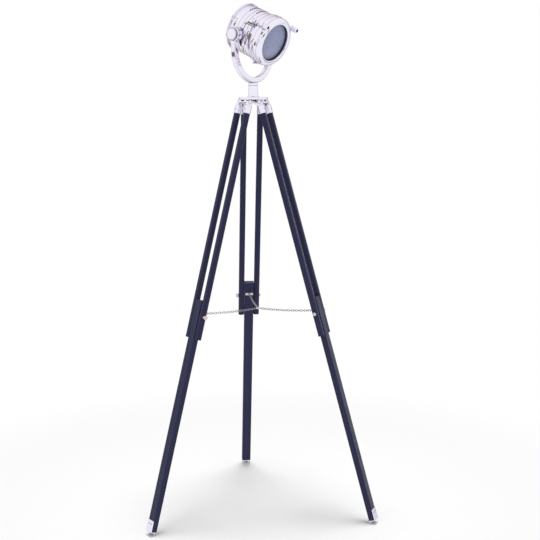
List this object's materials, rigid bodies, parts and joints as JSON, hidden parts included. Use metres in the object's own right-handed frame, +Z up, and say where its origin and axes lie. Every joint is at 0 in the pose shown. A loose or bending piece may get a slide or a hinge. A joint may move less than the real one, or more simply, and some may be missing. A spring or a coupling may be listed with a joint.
{
  "type": "tripod spotlight floor lamp",
  "caption": "Floor lamp: a round tilting spotlight head in a yoke on a folding tripod with telescopic wooden legs and spreader chains.",
  "frame": {"origin": "point on the floor under the tripod axis", "axes": "+Z up, +Y towards the rear leg, +X to the right seen from the front"},
  "size_m": [0.736, 0.6373, 1.6291],
  "materials": {
    "black_wood": "satin black lacquer",
    "frosted_glass": "frosted",
    "bulb_glass": "frosted",
    "rubber": "matt",
    "ceramic": "glazed",
    "spun_aluminium": "satin",
    "brass": "plain",
    "steel": "plain",
    "nickel_housing": "polished nickel",
    "nickel_fittings": "polished nickel"
  },
  "bodies": {
    "base": {"hub_plate": "nickel_housing", "pivot_bolts": "nickel_fittings", "neck_bell": "nickel_housing", "pan_stud": "nickel_fittings", "chain_ring": "nickel_fittings", "chain_rear": "nickel_fittings", "chain_left": "nickel_fittings", "chain_right": "nickel_fittings"},
    "yoke": {"yoke": "nickel_housing", "yoke_collar": "nickel_housing"},
    "tilt_knob_far": {"tilt_knob_far": "nickel_fittings"},
    "tilt_knob_near": {"tilt_knob_near": "nickel_fittings"},
    "head": {"drum_shell": "nickel_housing", "rear_cover": "nickel_housing", "cable_gland": "rubber", "side_covers": "nickel_fittings", "housing_screws": "nickel_fittings", "pivot_bosses": "nickel_fittings", "holder_bridge": "steel", "lamp_holder": "ceramic", "bulb_cap": "brass", "bulb_glass": "bulb_glass", "reflector": "spun_aluminium", "hinge_leaf_drum": "nickel_fittings", "hinge_pin": "nickel_fittings", "clamp_lugs_drum": "nickel_fittings"},
    "bezel": {"front_ring": "nickel_housing", "lens_glass": "frosted_glass", "lens_gasket": "rubber", "lens_retainer": "steel", "hinge_leaf_ring": "nickel_fittings", "clamp_lugs_ring": "nickel_fittings"},
    "ring_clamp_near": {"ring_clamp_near": "nickel_fittings"},
    "ring_clamp_far": {"ring_clamp_far": "nickel_fittings"},
    "leg_rear_upper": {"leg_rear_rail_a": "black_wood", "leg_rear_rail_b": "black_wood", "leg_rear_ferrules": "nickel_fittings"},
    "leg_rear_lower": {"leg_rear_lower": "black_wood", "leg_rear_foot_plate": "nickel_fittings", "leg_rear_glide": "nickel_fittings", "leg_rear_chain_bracket": "nickel_fittings"},
    "leg_rear_clamp": {"leg_rear_clamp": "nickel_fittings"},
    "leg_left_upper": {"leg_left_rail_a": "black_wood", "leg_left_rail_b": "black_wood", "leg_left_ferrules": "nickel_fittings"},
    "leg_left_lower": {"leg_left_lower": "black_wood", "leg_left_foot_plate": "nickel_fittings", "leg_left_glide": "nickel_fittings", "leg_left_chain_bracket": "nickel_fittings"},
    "leg_left_clamp": {"leg_left_clamp": "nickel_fittings"},
    "leg_right_upper": {"leg_right_rail_a": "black_wood", "leg_right_rail_b": "black_wood", "leg_right_ferrules": "nickel_fittings"},
    "leg_right_lower": {"leg_right_lower": "black_wood", "leg_right_foot_plate": "nickel_fittings", "leg_right_glide": "nickel_fittings", "leg_right_chain_bracket": "nickel_fittings"},
    "leg_right_clamp": {"leg_right_clamp": "nickel_fittings"}
  },
  "joints": [
    {"name": "head_pan", "type": "hinge", "parent": "base", "child": "yoke", "pos_m": [0, 0, 1.38], "axis": [0, 0, 1], "range_deg": [-170, 170]},
    {"name": "head_tilt", "type": "hinge", "parent": "yoke", "child": "head", "pos_m": [0, 0, 1.5295], "axis": [-0.6814, -0.7319, 0], "range_deg": [-34, 90]},
    {"name": "bezel_open", "type": "hinge", "parent": "head", "child": "bezel", "pos_m": [0.01124, -0.01046, 1.44686], "axis": [0.6814, 0.7319, 0], "range_deg": [0, 88]},
    {"name": "ring_clamp_near_turn", "type": "hinge", "parent": "bezel", "child": "ring_clamp_near", "pos_m": [0.02691, -0.1276, 1.54699], "axis": [0.6671, -0.621, -0.4115], "continuous": true},
    {"name": "tilt_knob_near_turn", "type": "hinge", "parent": "yoke", "child": "tilt_knob_near", "pos_m": [-0.06132, -0.06588, 1.5295], "axis": [0.6814, 0.7319, 0], "continuous": true},
    {"name": "ring_clamp_far_turn", "type": "hinge", "parent": "bezel", "child": "ring_clamp_far", "pos_m": [0.1292, -0.01772, 1.54699], "axis": [0.6671, -0.621, -0.4115], "continuous": true},
    {"name": "tilt_knob_far_turn", "type": "hinge", "parent": "yoke", "child": "tilt_knob_far", "pos_m": [0.06132, 0.06588, 1.5295], "axis": [0.6814, 0.7319, 0], "continuous": true},
    {"name": "leg_rear_fold", "type": "hinge", "parent": "base", "child": "leg_rear_upper", "pos_m": [0, 0.0345, 1.3265], "axis": [-1, 0, 0], "range_deg": [0, 13], "deforming": ["chain_rear"]},
    {"name": "leg_rear_slide", "type": "slide", "parent": "leg_rear_upper", "child": "leg_rear_lower", "axis": [0, 0.2713, -0.9625], "range_m": [-0.05, 0.035]},
    {"name": "leg_rear_clamp_turn", "type": "hinge", "parent": "leg_rear_upper", "child": "leg_rear_clamp", "pos_m": [0, 0.21924, 0.67104], "axis": [-1, 0, 0], "continuous": true},
    {"name": "leg_left_fold", "type": "hinge", "parent": "base", "child": "leg_left_upper", "pos_m": [-0.02988, -0.01725, 1.3265], "axis": [0.5, -0.866, 0], "range_deg": [0, 13], "deforming": ["chain_left"]},
    {"name": "leg_left_slide", "type": "slide", "parent": "leg_left_upper", "child": "leg_left_lower", "axis": [-0.2349, -0.1356, -0.9625], "range_m": [-0.05, 0.035]},
    {"name": "leg_left_clamp_turn", "type": "hinge", "parent": "leg_left_upper", "child": "leg_left_clamp", "pos_m": [-0.18986, -0.10962, 0.67104], "axis": [0.5, -0.866, 0], "continuous": true},
    {"name": "leg_right_fold", "type": "hinge", "parent": "base", "child": "leg_right_upper", "pos_m": [0.02988, -0.01725, 1.3265], "axis": [0.5, 0.866, 0], "range_deg": [0, 13], "deforming": ["chain_right"]},
    {"name": "leg_right_slide", "type": "slide", "parent": "leg_right_upper", "child": "leg_right_lower", "axis": [0.2349, -0.1356, -0.9625], "range_m": [-0.05, 0.035]},
    {"name": "leg_right_clamp_turn", "type": "hinge", "parent": "leg_right_upper", "child": "leg_right_clamp", "pos_m": [0.18986, -0.10962, 0.67104], "axis": [0.5, 0.866, 0], "continuous": true}
  ]
}
